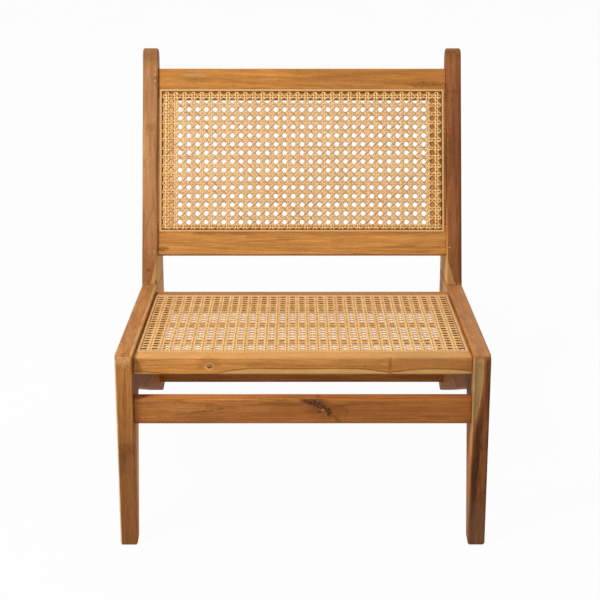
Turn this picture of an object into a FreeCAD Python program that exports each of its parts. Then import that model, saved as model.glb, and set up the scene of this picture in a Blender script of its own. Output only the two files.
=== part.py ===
import FreeCAD, Part
import math
import os

# Low lounge chair in teak with a caned seat and a caned back, in millimetres.
# X runs across the chair, -Y is its front, +Z is up. The origin is on the floor,
# in the middle of the chair's length and width.

# Side frames
overall_width = 600.0
board_thickness = 28.0
board_edge_ease = 2.2
front_height = 334.0
seat_slope_deg = 8.83
leg_lean_deg = 2.5
leg_foot_depth = 32.0
leg_back_deg = 18.5
knee_drop = 100.83
sole_length = 22.7
heel_radius = 60.0
nose_radius = 14.0
knee_radius = 8.0
foot_seam_height = 69.0
foot_seam_front_share = 0.336
rail_behind_post = 171.0
post_seat_gap = 13.5
post_rake_deg = 24.0
post_head_rise = 40.4
post_head_depth = 43.0
post_head_front_radius = 20.0
post_head_back_radius = 20.0

# Joints of the side frames
tenon_clearance = 0.15
mortise_end_gap = 1.0
loose_tenon_thickness = 10.0
leg_tenon_width = 40.0
leg_tenon_length = 44.0
leg_tenon_place_share = 0.76
post_tenon_width = 40.0
post_tenon_length = 50.0
post_tenon_place_shares = (0.28, 0.68)

# Stretchers
front_stretcher_height = 43.0
front_stretcher_depth = 23.5
front_stretcher_drop = 80.0
front_stretcher_setback = 10.0
rear_stretcher_height = 41.0
rear_stretcher_depth = 22.0
rear_stretcher_floor_gap = 43.5
rear_stretcher_heel_gap = 121.0
stretcher_tenon_length = 18.0
stretcher_tenon_thickness = 10.0
stretcher_shoulder = 5.5
stretcher_edge_round = 2.5

# Caned panels, seat and back alike
panel_thickness = 28.0
panel_rail_width = 57.0
panel_stile_width = 30.0
panel_side_fit = 0.2
panel_edge_round = 2.5
rail_tenon_length = 18.0
rail_tenon_thickness = 12.0
rail_shoulder = 4.0
stile_tenon_length = 12.0
stile_tenon_thickness = 8.0
stile_shoulder = 5.0
groove_depth = 7.0
spline_width = 4.5
spline_proud = 1.6
spline_top_round = 1.5
spline_fit = 0.1
spline_floor_gap = 0.4
cane_thickness = 2.0
cane_fit = 0.1
cane_bar_share = 0.42

# Seat panel
seat_length = 490.0
seat_setback = 22.5
seat_drop = 10.0
seat_groove_margin = 36.5
seat_groove_side_margin = 2.2
seat_cane_columns = 18
seat_cane_rows = 14
slat_width = 22.0
slat_thickness = 5.5
slat_lift = 4.5
slat_tenon_length = 10.0
slat_tenon_thickness = 3.5
slat_shoulder = 4.0
slat_edge_round = 1.8
slat_place_shares = (1 / 3, 2 / 3)

# Back panel
back_length = 353.0
back_rise = 56.6
back_recess = 8.0
back_top_margin = 39.2
back_bottom_margin = 42.8
back_groove_side_margin = 3.2
back_cane_columns = 18
back_cane_rows = 9

# Brads that pin the tenons of the back rails, placed from the panel's ends
brad_radius = 1.1
brad_length = 22.0
brad_clearance = 0.05
brad_inset = 5.0
left_brad_drops = (13.0, 25.0)
left_brad_rise = 6.5
right_brad_rise = 13.5

# Room that a cutting solid runs past what it cuts
overrun = 5.0

# How far a unit direction may stray from an axis and still count as parallel to it
straight_share = 1e-6

# Sizes that follow from those above
post_place = seat_setback + seat_length + post_seat_gap
side_length = post_place + rail_behind_post
post_length = back_rise + back_length + post_head_rise
front_stretcher_floor_gap = front_height - front_stretcher_drop - front_stretcher_height
half_width = overall_width / 2
inner_half = half_width - board_thickness
panel_half = inner_half - panel_side_fit
opening_half = panel_half - panel_stile_width


def heading(degrees):
    """Unit step in the side view, by its angle above the level line to the rear."""
    angle = math.radians(degrees)
    return (math.cos(angle), math.sin(angle))


def step(point, run, distance=1):
    """Point at a distance along a run in the side view."""
    return (point[0] + run[0] * distance, point[1] + run[1] * distance)


def between(first, second):
    """Run from one point of the side view to another."""
    return (second[0] - first[0], second[1] - first[1])


def slope(run):
    """Angle of a run in degrees."""
    return math.degrees(math.atan2(run[1], run[0]))


def meet(first, first_run, second, second_run):
    """Point where two lines of the side view cross."""
    cross = first_run[0] * second_run[1] - first_run[1] * second_run[0]
    gap = between(first, second)
    return step(first, first_run, (gap[0] * second_run[1] - gap[1] * second_run[0]) / cross)


# Lines and corners of the side view. Each point is (distance behind the toe, height).
level = heading(0)
upright = heading(90)
rail_run = heading(-seat_slope_deg)
rail_normal = heading(90 - seat_slope_deg)
leg_run = heading(90 - leg_lean_deg)
post_run = heading(90 - post_rake_deg)
post_across = heading(-post_rake_deg)

toe = (0.0, 0.0)
toe_back = (leg_foot_depth, 0.0)
heel = (side_length, 0.0)
sole_front = step(heel, level, -heel_radius - sole_length)
nose = meet(toe, leg_run, (0.0, front_height), level)
knee = meet(toe_back, heading(90 - leg_back_deg), (0.0, front_height - knee_drop), level)
rail_end = meet(nose, rail_run, heel, upright)
post_foot = step(nose, rail_run, post_place)
post_head = step(post_foot, post_run, post_length)
post_head_back = step(post_head, post_across, post_head_depth)
seam_back = step(heel, upright, foot_seam_height)
seam_front = step(knee, between(knee, sole_front), foot_seam_front_share)
seam_run = heading(slope(between(seam_front, seam_back)))

# The rearmost point is on the round at the back of the post's head
post_back_deg = slope(between(rail_end, post_head_back))
head_corner_deg = post_back_deg + post_rake_deg
head_reach = post_head_back_radius / math.tan(math.radians(head_corner_deg / 2))
head_tangent = step(post_head_back, heading(post_back_deg), -head_reach)
head_centre = step(head_tangent, heading(post_back_deg + 90), post_head_back_radius)
mid_length = (head_centre[0] + post_head_back_radius) / 2


def place(point, x=0.0):
    """Side view point as a point of the chair."""
    return FreeCAD.Vector(x, point[0] - mid_length, point[1])


def corner_arc(here, before, after, radius):
    """Round between two straight runs that meet at a corner."""
    back = (before - here).normalize()
    ahead = (after - here).normalize()
    half_angle = back.getAngle(ahead) / 2
    reach = radius / math.tan(half_angle)
    centre = here + (back + ahead).normalize() * (radius / math.sin(half_angle))
    middle = centre + (here - centre).normalize() * radius
    return Part.Arc(here + back * reach, middle, here + ahead * reach)


def rounded_wire(corners):
    """Closed outline in the side view, from corners that each have a radius or zero."""
    spots = [place(point) for point, radius in corners]
    path = []
    starts = []
    ends = []
    for index, (point, radius) in enumerate(corners):
        arc = None
        starts.append(spots[index])
        ends.append(spots[index])
        if radius > 0:
            arc = corner_arc(spots[index], spots[index - 1], spots[(index + 1) % len(spots)], radius)
            starts[index] = arc.StartPoint
            ends[index] = arc.EndPoint
        path.append(arc)
    edges = []
    for index, arc in enumerate(path):
        if arc is not None:
            edges.append(arc.toShape())
        edges.append(Part.LineSegment(ends[index], starts[(index + 1) % len(starts)]).toShape())
    return Part.Wire(edges)


def left_board(wire):
    """Board of the left side frame that fills an outline."""
    board = Part.Face(wire).extrude(FreeCAD.Vector(board_thickness, 0, 0))
    board.translate(FreeCAD.Vector(-half_width, 0, 0))
    return board


def box(low, high):
    """Box between two corners."""
    size = [top - bottom for bottom, top in zip(low, high)]
    return Part.makeBox(*size, FreeCAD.Vector(*low))


def mirrored(shape):
    """The same piece on the other side of the chair."""
    return shape.mirror(FreeCAD.Vector(0, 0, 0), FreeCAD.Vector(1, 0, 0))


def moved(shape, placement):
    """Copy of a shape, taken from a panel's own axes to its place on the chair."""
    copy = shape.copy()
    copy.Placement = placement.multiply(copy.Placement)
    return copy


def runs_along(edge, axis):
    """Whether an edge is straight and parallel to an axis."""
    ends = [vertex.Point for vertex in edge.Vertexes]
    if len(ends) < 2 or ends[0].isEqual(ends[1], 0):
        return False
    return abs(abs((ends[1] - ends[0]).normalize().dot(axis)) - 1) < straight_share


def soften(shape, radius, picks):
    """Round the edges that a test picks."""
    return shape.makeFillet(radius, [edge for edge in shape.Edges if picks(edge)])


def soften_along(shape, radius, axis):
    """Round every straight edge parallel to an axis."""
    return soften(shape, radius, lambda edge: runs_along(edge, axis))


across_chair = FreeCAD.Vector(1, 0, 0)
along_panel = FreeCAD.Vector(0, 1, 0)


# Side frames: leg, rail, rear foot and back post, in one plane

def side_blank():
    """Left side frame as glued up, with the edges of its outline eased."""
    outline = rounded_wire([
        (toe, 0),
        (nose, nose_radius),
        (post_foot, 0),
        (post_head, post_head_front_radius),
        (post_head_back, post_head_back_radius),
        (rail_end, 0),
        (heel, heel_radius),
        (sole_front, 0),
        (knee, knee_radius),
        (toe_back, 0),
    ])
    blank = left_board(outline)
    rims = [edge for edge in blank.Edges if edge.BoundBox.XLength < board_edge_ease]
    return blank.makeChamfer(board_edge_ease, rims)


def side_boards():
    """The four boards of the left side frame, parted along their glue lines."""
    far = side_length + post_length
    mitre = between(knee, nose)
    over_nose = step(nose, mitre)
    under_knee = step(knee, mitre, -1)
    ahead_of_seam = step(seam_front, seam_run, -overrun)
    past_seam = step(seam_back, seam_run, far)
    ahead_of_post = step(post_foot, rail_run, -overrun)
    past_rail = step(rail_end, rail_run, far)
    regions = {
        "front_leg": [over_nose, under_knee, (under_knee[0], -far), (-far, -far), (-far, over_nose[1])],
        "rear_foot": [ahead_of_seam, past_seam, (past_seam[0], -far), (ahead_of_seam[0], -far)],
        "back_post": [ahead_of_post, past_rail, (past_rail[0], far), (ahead_of_post[0], far)],
    }
    blank = side_blank()
    boards = {"side_rail": blank}
    for name, region in regions.items():
        cutter = left_board(rounded_wire([(point, 0) for point in region]))
        boards[name] = blank.common(cutter)
        boards["side_rail"] = boards["side_rail"].cut(cutter)
    return boards


def loose_tenon(middle, length_run, width, length, clearance=0.0, end_gap=0.0):
    """Loose tenon with round edges, in the middle of the left board's thickness."""
    width_run = (-length_run[1], length_run[0])
    x = -half_width + board_thickness / 2
    thickness = loose_tenon_thickness + 2 * clearance
    reach = (width + 2 * clearance - thickness) / 2
    foot = step(middle, length_run, -length / 2 - end_gap)
    drive = place(step(foot, length_run, length + 2 * end_gap)) - place(foot)
    sides = [step(foot, width_run, -reach), step(foot, width_run, reach)]
    rounds = [Part.makeCylinder(thickness / 2, drive.Length, place(side, x), drive) for side in sides]
    spots = []
    for side, turn in ((0, -1), (1, -1), (1, 1), (0, 1)):
        spots.append(place(sides[side], x + turn * thickness / 2))
    core = Part.Face(Part.makePolygon(spots + spots[:1])).extrude(drive)
    return core.multiFuse(rounds).removeSplitter()


def mitre_tenon(clearance=0.0, end_gap=0.0):
    """Loose tenon across the mitre of the left leg and rail."""
    mitre = between(nose, knee)
    middle = step(nose, mitre, leg_tenon_place_share)
    across = heading(slope(mitre) + 90)
    return loose_tenon(middle, across, leg_tenon_width, leg_tenon_length, clearance, end_gap)


def post_tenon(place_share, clearance=0.0, end_gap=0.0):
    """Loose tenon between the left rail and the foot of its post."""
    middle = step(post_foot, between(post_foot, rail_end), place_share)
    return loose_tenon(middle, rail_normal, post_tenon_width, post_tenon_length, clearance, end_gap)


# Stretchers

def stretcher_tenon(front, bottom, depth, height, clearance=0.0, end_gap=0.0):
    """Tenon that runs through a stretcher and out at both ends."""
    reach = inner_half + stretcher_tenon_length + end_gap
    inset = (depth - stretcher_tenon_thickness) / 2 - clearance
    shoulder = stretcher_shoulder - clearance
    return box(
        (-reach, front + inset, bottom + shoulder),
        (reach, front + depth - inset, bottom + height - shoulder),
    )


def stretcher(front, bottom, depth, height):
    """Cross member between the side frames, with a stub tenon at each end."""
    bar = box((-inner_half, front, bottom), (inner_half, front + depth, bottom + height))
    bar = soften_along(bar, stretcher_edge_round, across_chair)
    return bar.fuse(stretcher_tenon(front, bottom, depth, height)).removeSplitter()


def front_stretcher_stock():
    """Place and section of the front stretcher."""
    leg_face = step(toe, leg_run, front_stretcher_floor_gap / leg_run[1])
    front = place(step(leg_face, level, front_stretcher_setback)).y
    return (front, front_stretcher_floor_gap, front_stretcher_depth, front_stretcher_height)


def rear_stretcher_stock():
    """Place and section of the rear stretcher."""
    front = place(step(heel, level, -rear_stretcher_heel_gap - rear_stretcher_depth)).y
    return (front, rear_stretcher_floor_gap, rear_stretcher_depth, rear_stretcher_height)


# Caned panels. Each is made in its own axes, X across, Y from its low rail to its
# high rail and Z out of its face, and then moved to its place.

def ring(low, high, width, bottom, top):
    """Rectangular ring whose outer corners are at low and high."""
    outer = box((low[0], low[1], bottom), (high[0], high[1], top))
    inner = box((low[0] + width, low[1] + width, bottom), (high[0] - width, high[1] - width, top))
    return outer.cut(inner)


def rail_tenon(low, clearance=0.0, end_gap=0.0):
    """Tenon that runs through a panel rail and out at both ends. Low is the rail's lower edge."""
    reach = inner_half + rail_tenon_length + end_gap
    inset = (panel_thickness - rail_tenon_thickness) / 2 - clearance
    shoulder = rail_shoulder - clearance
    return box(
        (-reach, low + shoulder, inset - panel_thickness),
        (reach, low + panel_rail_width - shoulder, -inset),
    )


def panel_rail(low):
    """Panel rail with rounded edges and its tenons."""
    rail = box((-inner_half, low, -panel_thickness), (inner_half, low + panel_rail_width, 0))
    rail = soften_along(rail, panel_edge_round, across_chair)
    return rail.fuse(rail_tenon(low)).removeSplitter()


def stile_tenon(length, side_margin, clearance=0.0, end_gap=0.0):
    """Tenon that runs through the left stile and out at both ends."""
    start = panel_rail_width - stile_tenon_length - end_gap
    inset = (panel_thickness - stile_tenon_thickness) / 2 - clearance
    shoulder = stile_shoulder - clearance
    return box(
        (-panel_half + side_margin + shoulder, start, inset - panel_thickness),
        (-opening_half - shoulder, length - start, -inset),
    )


def panel_stile(length, side_margin):
    """Left stile between the rails, with its inner edges rounded and its tenons."""
    stile = box(
        (-panel_half, panel_rail_width, -panel_thickness),
        (-opening_half, length - panel_rail_width, 0),
    )
    middle = stile.CenterOfMass.x
    stile = soften(
        stile,
        panel_edge_round,
        lambda edge: runs_along(edge, along_panel) and edge.CenterOfMass.x > middle,
    )
    return stile.fuse(stile_tenon(length, side_margin)).removeSplitter()


def spline(outline, axis):
    """One mitred length of reed spline along an axis, with its upper edges rounded."""
    bottom = spline_floor_gap - groove_depth
    spots = [FreeCAD.Vector(x, y, bottom) for x, y in outline]
    face = Part.Face(Part.makePolygon(spots + spots[:1]))
    reed = face.extrude(FreeCAD.Vector(0, 0, spline_proud - bottom))
    return soften(reed, spline_top_round, lambda edge: runs_along(edge, axis) and edge.CenterOfMass.z > 0)


def splines(low, high):
    """The four splines of a panel, whose groove has its outer corners at low and high."""
    left = low[0] + spline_fit
    bottom = low[1] + spline_fit
    right = high[0] - spline_fit
    top = high[1] - spline_fit
    outer = [(left, bottom), (right, bottom), (right, top), (left, top)]
    inner = [
        (left + spline_width, bottom + spline_width),
        (right - spline_width, bottom + spline_width),
        (right - spline_width, top - spline_width),
        (left + spline_width, top - spline_width),
    ]
    reeds = {}
    for index, side in enumerate(("low", "right", "high", "left")):
        follow = (index + 1) % len(outer)
        axis = along_panel if side in ("left", "right") else across_chair
        reeds[side] = spline([outer[index], outer[follow], inner[follow], inner[index]], axis)
    return reeds


def cane(low, high, length, columns, rows):
    """Cane sheet over the panel's face, with its holes and its edge turned down into the groove."""
    inset = spline_width + 2 * spline_fit
    sheet_low = (low[0] + inset, low[1] + inset)
    sheet_high = (high[0] - inset, high[1] - inset)
    pitch_x = 2 * opening_half / columns
    pitch_y = (length - 2 * panel_rail_width) / rows
    rims = [(sheet_low, sheet_high)]
    for column in range(columns):
        for row in range(rows):
            x = pitch_x * (column + cane_bar_share / 2) - opening_half
            y = pitch_y * (row + cane_bar_share / 2) + panel_rail_width
            open_share = 1 - cane_bar_share
            rims.append(((x, y), (x + pitch_x * open_share, y + pitch_y * open_share)))
    wires = []
    for (x0, y0), (x1, y1) in rims:
        loop = [FreeCAD.Vector(x, y, 0) for x, y in ((x0, y0), (x1, y0), (x1, y1), (x0, y1))]
        wires.append(Part.makePolygon(loop + loop[:1]))
    sheet = Part.Face(wires, "Part::FaceMakerBullseye").extrude(FreeCAD.Vector(0, 0, cane_thickness))
    bottom = spline_floor_gap - groove_depth
    edge = ring(sheet_low, sheet_high, cane_thickness, bottom, cane_thickness)
    return sheet.fuse(edge).removeSplitter()


def caned_panel(length, low_margin, high_margin, side_margin, columns, rows):
    """The pieces of a caned panel, keyed by low, high, left, right and what they are."""
    low = (-panel_half + side_margin, low_margin)
    high = (panel_half - side_margin, length - high_margin)
    groove_width = spline_width + cane_thickness + 2 * spline_fit + cane_fit
    groove = ring(low, high, groove_width, -groove_depth, overrun)
    mortise = stile_tenon(length, side_margin, tenon_clearance, mortise_end_gap)
    cuts = [groove, mortise, mirrored(mortise)]
    stile = panel_stile(length, side_margin).cut(groove)
    pieces = {
        "low_rail": panel_rail(0).cut(cuts),
        "high_rail": panel_rail(length - panel_rail_width).cut(cuts),
        "left_stile": stile,
        "right_stile": mirrored(stile),
        "cane": cane(low, high, length, columns, rows),
    }
    for side, reed in splines(low, high).items():
        pieces[side + "_spline"] = reed
    return pieces


# Seat

def slat_tenon(middle, clearance=0.0, end_gap=0.0):
    """Tenon that runs through a support slat and out at both ends."""
    reach = opening_half + slat_tenon_length + end_gap
    half = slat_width / 2 - slat_shoulder + clearance
    inset = (slat_thickness - slat_tenon_thickness) / 2 - clearance
    bottom = slat_lift - panel_thickness
    return box(
        (-reach, middle - half, bottom + inset),
        (reach, middle + half, bottom + slat_thickness - inset),
    )


def slat(middle):
    """Support slat between the seat's stiles, near their underside."""
    half = slat_width / 2
    bottom = slat_lift - panel_thickness
    bar = box((-opening_half, middle - half, bottom), (opening_half, middle + half, bottom + slat_thickness))
    bar = soften_along(bar, slat_edge_round, across_chair)
    return bar.fuse(slat_tenon(middle)).removeSplitter()


def seat_placement():
    """The seat panel's corner and slope, between the side rails."""
    front = step(nose, rail_run, seat_setback)
    turn = FreeCAD.Rotation(across_chair, -seat_slope_deg)
    return FreeCAD.Placement(place(step(front, rail_normal, -seat_drop)), turn)


def seat_pieces():
    """Seat panel and its two slats, in the panel's axes."""
    pieces = caned_panel(
        seat_length,
        seat_groove_margin,
        seat_groove_margin,
        seat_groove_side_margin,
        seat_cane_columns,
        seat_cane_rows,
    )
    for name, place_share in zip(("front_slat", "rear_slat"), slat_place_shares):
        middle = panel_rail_width + (seat_length - 2 * panel_rail_width) * place_share
        pieces[name] = slat(middle)
        mortise = slat_tenon(middle, tenon_clearance, mortise_end_gap)
        for stile in ("left_stile", "right_stile"):
            pieces[stile] = pieces[stile].cut(mortise)
    return pieces


# Back

def back_placement():
    """The back panel's corner and rake, between the posts."""
    front = step(post_foot, post_run, back_rise)
    turn = FreeCAD.Rotation(across_chair, 90 - post_rake_deg)
    return FreeCAD.Placement(place(step(front, post_across, back_recess)), turn)


def back_pieces():
    """Back panel, in its own axes."""
    return caned_panel(
        back_length,
        back_bottom_margin,
        back_top_margin,
        back_groove_side_margin,
        back_cane_columns,
        back_cane_rows,
    )


def brads(clearance=0.0):
    """Brads through the fronts of the posts into the tenons of the back rails."""
    x = inner_half + brad_inset
    spots = [(-x, back_length - drop) for drop in left_brad_drops]
    spots += [(-x, left_brad_rise), (x, right_brad_rise)]
    point = back_recess - brad_length
    out = FreeCAD.Vector(0, 0, 1)
    return [
        Part.makeCylinder(brad_radius + clearance, brad_length, FreeCAD.Vector(*spot, point), out)
        for spot in spots
    ]


# Assembly

def panel_mortises(placement, rail_lows):
    """Mortises for the rails of a panel, in their place on the chair."""
    return [moved(rail_tenon(low, tenon_clearance, mortise_end_gap), placement) for low in rail_lows]


def chair_pieces():
    """Every piece of the chair by its name."""
    seat_place = seat_placement()
    back_place = back_placement()
    front_stock = front_stretcher_stock()
    rear_stock = rear_stretcher_stock()
    pieces = {
        "front_stretcher": stretcher(*front_stock),
        "rear_stretcher": stretcher(*rear_stock),
    }

    seat_names = {"low": "front", "high": "rear", "left": "left", "right": "right"}
    for key, piece in seat_pieces().items():
        side, _, kind = key.partition("_")
        name = "_".join(["seat", kind, seat_names.get(side, side)]) if kind else "seat_cane"
        pieces[name] = moved(piece, seat_place)

    back_names = {"low": "bottom", "high": "top", "left": "left", "right": "right"}
    brad_holes = brads(brad_clearance)
    for key, piece in back_pieces().items():
        side, _, kind = key.partition("_")
        name = "_".join(["back", kind, back_names[side]]) if kind else "back_cane"
        if kind == "rail":
            piece = piece.cut(brad_holes)
        pieces[name] = moved(piece, back_place)
    pieces["tenon_brads"] = Part.makeCompound([moved(pin, back_place) for pin in brads()])

    leg_mortise = mitre_tenon(tenon_clearance, mortise_end_gap)
    post_mortises = [
        post_tenon(place_share, tenon_clearance, mortise_end_gap)
        for place_share in post_tenon_place_shares
    ]
    seat_mortises = panel_mortises(seat_place, (0, seat_length - panel_rail_width))
    back_mortises = panel_mortises(back_place, (0, back_length - panel_rail_width))
    post_brad_holes = [moved(hole, back_place) for hole in brad_holes]
    front_mortise = stretcher_tenon(*front_stock, tenon_clearance, mortise_end_gap)
    rear_mortise = stretcher_tenon(*rear_stock, tenon_clearance, mortise_end_gap)
    cuts = {
        "front_leg": [front_mortise, leg_mortise] + seat_mortises,
        "side_rail": [leg_mortise] + seat_mortises + post_mortises,
        "rear_foot": [rear_mortise],
        "back_post": post_mortises + back_mortises,
    }
    left_pieces = {name: board.cut(cuts[name]) for name, board in side_boards().items()}
    left_pieces["leg_tenon"] = mitre_tenon()
    left_pieces["post_tenons"] = Part.makeCompound(
        [post_tenon(place_share) for place_share in post_tenon_place_shares]
    )
    for name, piece in left_pieces.items():
        pieces[name + "_left"] = piece
        pieces[name + "_right"] = mirrored(piece)
    for side in ("_left", "_right"):
        pieces["back_post" + side] = pieces["back_post" + side].cut(post_brad_holes)
    return pieces


def main():
    os.makedirs("parts", exist_ok=True)
    for name, piece in sorted(chair_pieces().items()):
        if len(piece.Solids) == 1:
            piece = piece.Solids[0]
        piece.exportStep(os.path.join("parts", name + ".step"))
        bounds = piece.optimalBoundingBox()
        lows = [round(value, 1) for value in (bounds.XMin, bounds.YMin, bounds.ZMin)]
        highs = [round(value, 1) for value in (bounds.XMax, bounds.YMax, bounds.ZMax)]
        print(name, len(piece.Solids), "valid" if piece.isValid() else "NOT VALID", lows, highs)


main()
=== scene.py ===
import math
import random

import bpy
import numpy as np
from mathutils import Matrix, Vector


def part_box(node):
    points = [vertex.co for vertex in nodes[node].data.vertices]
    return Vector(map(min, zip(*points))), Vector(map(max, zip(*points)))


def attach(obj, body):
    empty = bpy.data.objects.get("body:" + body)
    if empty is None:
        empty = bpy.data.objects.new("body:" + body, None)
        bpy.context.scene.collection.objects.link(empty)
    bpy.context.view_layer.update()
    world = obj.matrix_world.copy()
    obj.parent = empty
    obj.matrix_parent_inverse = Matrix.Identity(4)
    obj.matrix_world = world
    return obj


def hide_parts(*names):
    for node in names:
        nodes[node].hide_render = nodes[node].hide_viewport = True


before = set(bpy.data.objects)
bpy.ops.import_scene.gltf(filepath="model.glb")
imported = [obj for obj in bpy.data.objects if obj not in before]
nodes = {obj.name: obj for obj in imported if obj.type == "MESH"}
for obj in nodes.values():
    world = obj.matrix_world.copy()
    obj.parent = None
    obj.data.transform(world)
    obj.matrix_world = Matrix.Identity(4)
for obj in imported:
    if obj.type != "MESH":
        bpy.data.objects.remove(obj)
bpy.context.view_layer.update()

# Teak lounge chair with a caned seat and a caned back. The frame holds every board, reed
# and brad, and this script gives them their finishes and weaves the cane strand by strand.
# Lengths are in metres unless a name ends in _mm. Materials work in millimetres.

MM = 0.001
picks = random.Random(7)

# Slopes of the chair's lines in its side view, in degrees above the level line to the rear.
# The lean is how far the front legs' front face leans back from upright.
SEAT_SLOPE = -8.83
POST_SLOPE = 66.0
LEG_SLOPE = 84.0
LEG_LEAN = 2.5
RAIL_GRAIN_SLOPE = -12.5
FOOT_GRAIN_SLOPE = -15.5

ACROSS = (1.0, 0.0, 0.0)
REARWARD = (0.0, 1.0, 0.0)
UPWARD = (0.0, 0.0, 1.0)


def side_run(slope):
    """Direction in the side view at a slope in degrees."""
    angle = math.radians(slope)
    return (0.0, math.cos(angle), math.sin(angle))


def paint(red, green, blue):
    """Linear colour from the three screen values of a colour, each up to 255."""
    linear = []
    for value in (red, green, blue):
        share = value / 255
        linear.append(share / 12.92 if share <= 0.04045 else ((share + 0.055) / 1.055) ** 2.4)
    return (*linear, 1.0)


def toned(tone, share):
    """A board's tone made darker or lighter. Darker wood is redder too."""
    red, green, blue, _ = paint(*tone)
    return (red * share, green * share ** 1.06, blue * share ** 1.15, 1.0)


# Shading kit

class Value:
    """A number that varies over a surface, with its arithmetic written as Python."""

    def __init__(self, finish, socket):
        self.finish = finish
        self.socket = socket

    def __add__(self, other):
        return self.finish.math("ADD", self, other)

    def __radd__(self, other):
        return self.finish.math("ADD", other, self)

    def __sub__(self, other):
        return self.finish.math("SUBTRACT", self, other)

    def __rsub__(self, other):
        return self.finish.math("SUBTRACT", other, self)

    def __mul__(self, other):
        return self.finish.math("MULTIPLY", self, other)

    def __rmul__(self, other):
        return self.finish.math("MULTIPLY", other, self)

    def __truediv__(self, other):
        return self.finish.math("DIVIDE", self, other)

    def __rtruediv__(self, other):
        return self.finish.math("DIVIDE", other, self)

    def __pow__(self, other):
        return self.finish.math("POWER", self, other)

    def __abs__(self):
        return self.finish.math("ABSOLUTE", self)

    def fraction(self):
        return self.finish.math("FRACT", self)

    def root(self):
        return self.finish.math("SQRT", self)

    def at_most(self, other):
        return self.finish.math("MINIMUM", self, other)

    def at_least(self, other):
        return self.finish.math("MAXIMUM", self, other)

    def rise(self, low, high):
        """0 below low and 1 above high, with a smooth step between. Low may be the larger."""
        step = self.finish.node(
            "ShaderNodeMapRange",
            {"interpolation_type": "SMOOTHSTEP"},
            {"Value": self, "From Min": low, "From Max": high},
        )
        return Value(self.finish, step.outputs["Result"])

    def near(self, middle, reach):
        """1 at the middle, falling smoothly to 0 at a reach to either side."""
        return abs(self - middle).rise(reach, 0)


class Finish:
    """A node material, and the few ways in which nodes are added to it."""

    def __init__(self, name):
        self.material = bpy.data.materials.new(name)
        self.begin(self.material, "ShaderNodeOutputMaterial")

    def begin(self, owner, output):
        """Empties the nodes of a material or a world, and gives them their output."""
        owner.use_nodes = True
        self.tree = owner.node_tree
        self.tree.nodes.clear()
        self.out = self.node(output)

    def node(self, kind, settings=None, inputs=None):
        """Adds a node. Settings come first, then the values or links of its sockets."""
        node = self.tree.nodes.new(kind)
        for key, value in (settings or {}).items():
            setattr(node, key, value)
        for key, value in (inputs or {}).items():
            if isinstance(value, Value):
                value = value.socket
            if isinstance(value, bpy.types.NodeSocket):
                self.tree.links.new(value, node.inputs[key])
            else:
                node.inputs[key].default_value = value
        return node

    def math(self, operation, *values):
        node = self.node("ShaderNodeMath", {"operation": operation}, dict(enumerate(values)))
        return Value(self, node.outputs[0])

    def vector_math(self, operation, inputs):
        return self.node("ShaderNodeVectorMath", {"operation": operation}, inputs)

    def dot(self, vector, direction):
        """How far a vector reaches along a direction."""
        node = self.vector_math("DOT_PRODUCT", {0: vector, 1: direction})
        return Value(self, node.outputs["Value"])

    def joined(self, x, y, z):
        """Vector made of three numbers."""
        return self.node("ShaderNodeCombineXYZ", None, {0: x, 1: y, 2: z}).outputs[0]

    def noise(self, vector, scale=1.0, detail=2.0, roughness=0.5):
        """Smooth noise about 0, seldom past 0.5 either way."""
        node = self.node(
            "ShaderNodeTexNoise",
            {"noise_dimensions": "3D"},
            {"Vector": vector, "Scale": scale, "Detail": detail, "Roughness": roughness},
        )
        return (Value(self, node.outputs[0]) - 0.5) * 2.0

    def blend(self, factor, first, second):
        """First colour where the factor is 0, and second where it is 1."""
        node = self.node(
            "ShaderNodeMix",
            {"data_type": "RGBA", "clamp_factor": True},
            {0: factor, 6: first, 7: second},
        )
        return node.outputs[2]

    def scaled(self, vector, factor):
        """A colour or a vector times a number."""
        return self.vector_math("SCALE", {0: vector, 3: factor}).outputs[0]

    def spot_in_mm(self):
        """Place in the chair in millimetres, the same from every side."""
        return self.scaled(self.node("ShaderNodeTexCoord").outputs["Object"], 1 / MM)

    def background_rays(self):
        """1 for rays that show the background: from the camera, mirrored, or through glass."""
        rays = self.node("ShaderNodeLightPath").outputs
        seen = Value(self, rays["Is Camera Ray"]).at_least(Value(self, rays["Is Glossy Ray"]))
        return seen.at_least(Value(self, rays["Is Transmission Ray"]))

    def attribute(self, name):
        node = self.node("ShaderNodeAttribute", {"attribute_name": name})
        return Value(self, node.outputs["Fac"])

    def surface(self, colour, roughness, height, depth, normal=None, **constants):
        """Ends the material in one Principled shader, with a relief that is depth deep."""
        shader = self.node("ShaderNodeBsdfPrincipled", None, {"Base Color": colour, "Roughness": roughness})
        for key, value in constants.items():
            shader.inputs[key.replace("_", " ")].default_value = value
        relief = self.node("ShaderNodeBump", None, {"Height": height, "Distance": depth})
        if normal is not None:
            self.tree.links.new(normal, relief.inputs["Normal"])
        self.tree.links.new(relief.outputs[0], shader.inputs["Normal"])
        self.tree.links.new(shader.outputs[0], self.out.inputs["Surface"])
        return self.material


# Teak

# Places in the chair in millimetres: the side frames' inner faces, a plane just behind the
# front of the posts' feet, the rear end of the seam over the rear feet, which rises towards
# the front, the front of the legs' feet, and the side frames' nose, where their top begins
INNER_FACE_X = 272.0
POST_FOOT_Y = 190.0
SEAM_REAR_Y = 319.6
SEAM_REAR_Z = 69.0
SEAM_RISE = 0.2055
FRONT_FACE_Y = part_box("front_leg_left")[0][1] / MM
FRONT_LEAN_SHARE = math.tan(math.radians(LEG_LEAN))
NOSE_Z = 334.0
NOSE_Y = FRONT_FACE_Y + NOSE_Z * FRONT_LEAN_SHARE

EDGE_SOFTNESS = 2.5 * MM
TEAK_ROUGHNESS = 0.56
TEAK_SPECULAR = 0.04

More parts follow.
